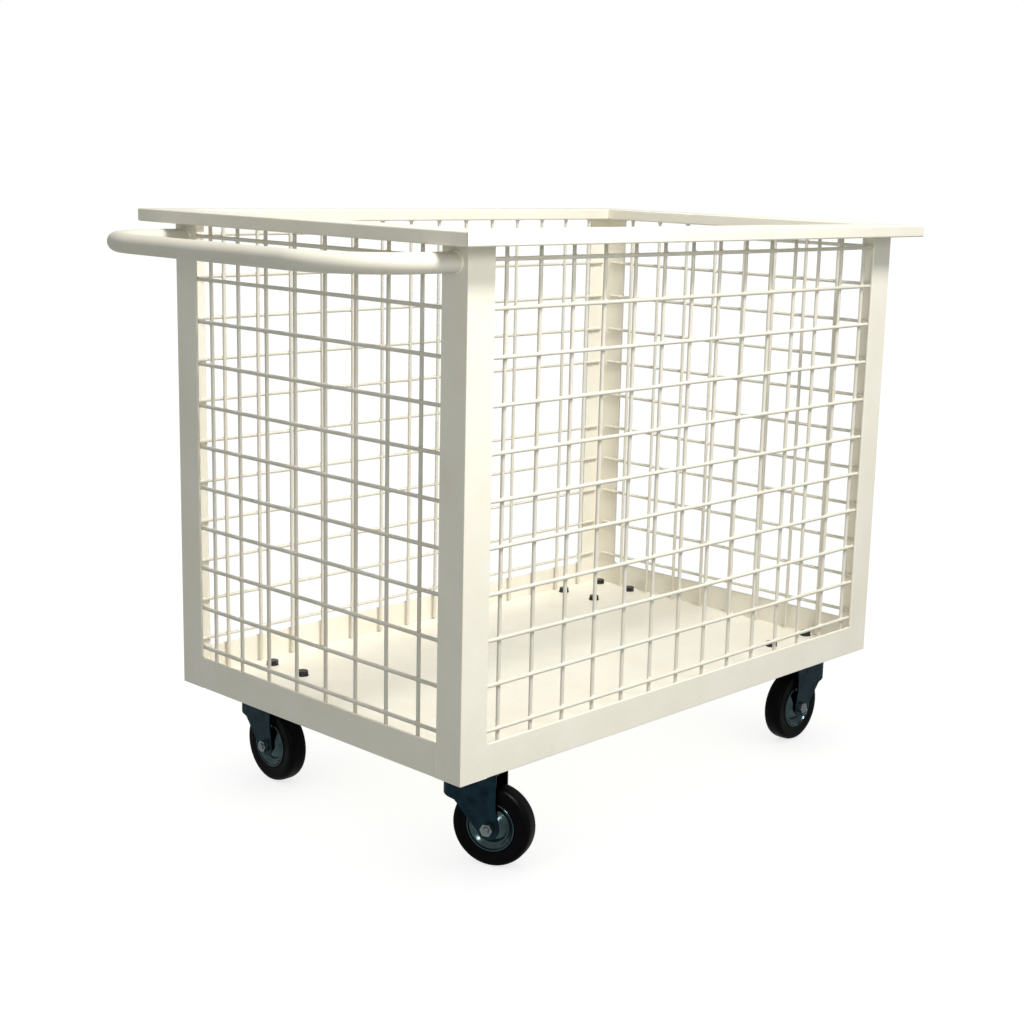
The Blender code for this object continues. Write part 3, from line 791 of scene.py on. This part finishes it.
def add_casters():
    """Four casters, which share their meshes. Each turns with its swivel and wheel joints."""
    crown_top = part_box("fork_front_right")[1].z
    axle_z = wheel_joints["front_right"]["pos_m"][2]
    half = FORK_HALF_WIDTH + CLEARANCE
    crown_bottom = crown_top - CROWN_THICKNESS - CLEARANCE
    plate = plate_mesh(*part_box("caster_plate_rear_right"))
    race = race_mesh(*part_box("swivel_race_rear_right"))
    kingpin = kingpin_mesh(*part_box("kingpin_rear_right"), crown_bottom)
    fork = fork_mesh(crown_top, axle_z)
    bolt = axle_bolt_mesh(half, half + 0.0105)
    nut = nut_mesh("axle_nut", half, half + 0.008)
    hub = hub_mesh()
    tyre = tyre_mesh(axle_z, TYRE_HALF_WIDTH)
    walls = [circle(0, 0, radius) for radius in SLEEVE_RADII]
    sleeve = prism("axle_sleeve", walls, -SLEEVE_HALF_LENGTH, SLEEVE_HALF_LENGTH)
    for mesh in (bolt, nut, sleeve):
        mesh.transform(ON_EDGE)
    for corner in CORNERS:
        swivel, spin = swivel_joints[corner], wheel_joints[corner]
        x, y, _ = swivel["pos_m"]
        heading = math.atan2(-spin["axis"][0], spin["axis"][1])
        fixed = Matrix.Translation((x, y, 0))
        turned_fork = fixed @ Matrix.Rotation(heading, 4, "Z")
        axle = turned_fork @ Matrix.Translation((TRAIL, 0, axle_z))
        body, wheel = "swivel_" + corner, "wheel_" + corner
        for name, mesh, finish, rides, place in (
            ("caster_plate_", plate, zinc, "trolley", fixed),
            ("swivel_race_", race, zinc, "trolley", fixed),
            ("kingpin_", kingpin, zinc, "trolley", fixed),
            ("fork_", fork, zinc, body, turned_fork),
            ("axle_bolt_", bolt, axle_zinc, body, axle),
            ("axle_nut_", nut, axle_zinc, body, axle),
            ("axle_sleeve_", sleeve, axle_zinc, body, axle),
            ("wheel_hub_", hub, wheel_zinc, wheel, axle),
            ("tyre_", tyre, rubber, wheel, axle),
        ):
            add_piece(name + corner + "_piece", mesh, finish, rides, name + corner, place=place)
        add_caster_bolts(corner)


# Studio


def add_studio():
    """A plain pale floor, a key light on the right with three weak fills, and a pale surround."""
    bm = bmesh.new()
    bmesh.ops.create_grid(bm, x_segments=1, y_segments=1, size=30)
    floor = bpy.data.objects.new("studio_floor", to_mesh(bm, "studio_floor"))
    floor.data.materials.append(studio_floor())
    floor.visible_diffuse = False
    floor.visible_glossy = False
    bpy.context.scene.collection.objects.link(floor)

    lit = bpy.data.collections.new("lit_by_key")
    for obj in bpy.context.scene.objects:
        if obj.type == "MESH" and obj is not floor:
            lit.objects.link(obj)
    for name, place, watts, size, spread in (
        ("key", Vector((-0.20, -2.2, 3.8)), 162, 1.0, 180),
        ("near_fill", Vector((-0.42, -1.05, 1.19)), 2.6, 0.25, 180),
        ("floor_fill", Vector((-0.15, 0, 3.6)), 0.8, 0.6, 34),
        ("corner_fill", Vector((-1.95, -1.95, 1.15)), 6, 0.42, 180),
    ):
        light = bpy.data.lights.new(name, "AREA")
        light.shape = "DISK"
        light.size = size
        light.energy = watts
        light.spread = math.radians(spread)
        light.color = (1.0, 0.985, 0.95)
        lamp = bpy.data.objects.new(name, light)
        facing = (place - Vector((0, 0, 0.5))).to_track_quat("Z", "Y").to_matrix().to_4x4()
        lamp.matrix_world = Matrix.Translation(place) @ facing
        lamp.light_linking.receiver_collection = lit
        lamp.visible_camera = False
        bpy.context.scene.collection.objects.link(lamp)

    world = bpy.data.worlds.new("studio")
    bpy.context.scene.world = world
    world.use_nodes = True
    nodes, links = world.node_tree.nodes, world.node_tree.links
    surround = nodes["Background"]
    surround.inputs["Color"].default_value = (0.96, 1.0, 0.97, 1)
    surround.inputs["Strength"].default_value = 0.40
    backdrop = nodes.new("ShaderNodeBackground")
    backdrop.inputs["Color"].default_value = (1, 1, 1, 1)
    choice = nodes.new("ShaderNodeMixShader")
    links.new(nodes.new("ShaderNodeLightPath").outputs["Is Camera Ray"], choice.inputs[0])
    links.new(surround.outputs[0], choice.inputs[1])
    links.new(backdrop.outputs[0], choice.inputs[2])
    links.new(choice.outputs[0], nodes["World Output"].inputs["Surface"])
    bpy.context.scene.view_settings.view_transform = "Standard"


def add_camera():
    """The camera stands off the rear right corner, a little above the rim."""
    camera = bpy.data.cameras.new("camera")
    camera.sensor_width = 36
    camera.lens = 58.93
    camera.shift_x = -0.0664
    heading, dip, roll = math.radians(42.18), math.radians(11.81), math.radians(1.74)
    obj = bpy.data.objects.new("camera", camera)
    obj.matrix_world = (
        Matrix.Translation((-1.9305, -1.8949, 1.0008))
        @ Matrix.Rotation(heading - math.pi / 2, 4, "Z")
        @ Matrix.Rotation(math.pi / 2 - dip, 4, "X")
        @ Matrix.Rotation(roll, 4, "Z")
    )
    bpy.context.scene.collection.objects.link(obj)
    bpy.context.scene.camera = obj


dice = random.Random(7)
swivel_joints = {}
wheel_joints = {}
for joint in frame["joints"]:
    kind, corner = joint["name"].split("_", 2)[0], joint["name"].split("_", 2)[2]
    (swivel_joints if kind == "swivel" else wheel_joints)[corner] = joint

add_cage()
add_casters()
add_studio()
add_camera()
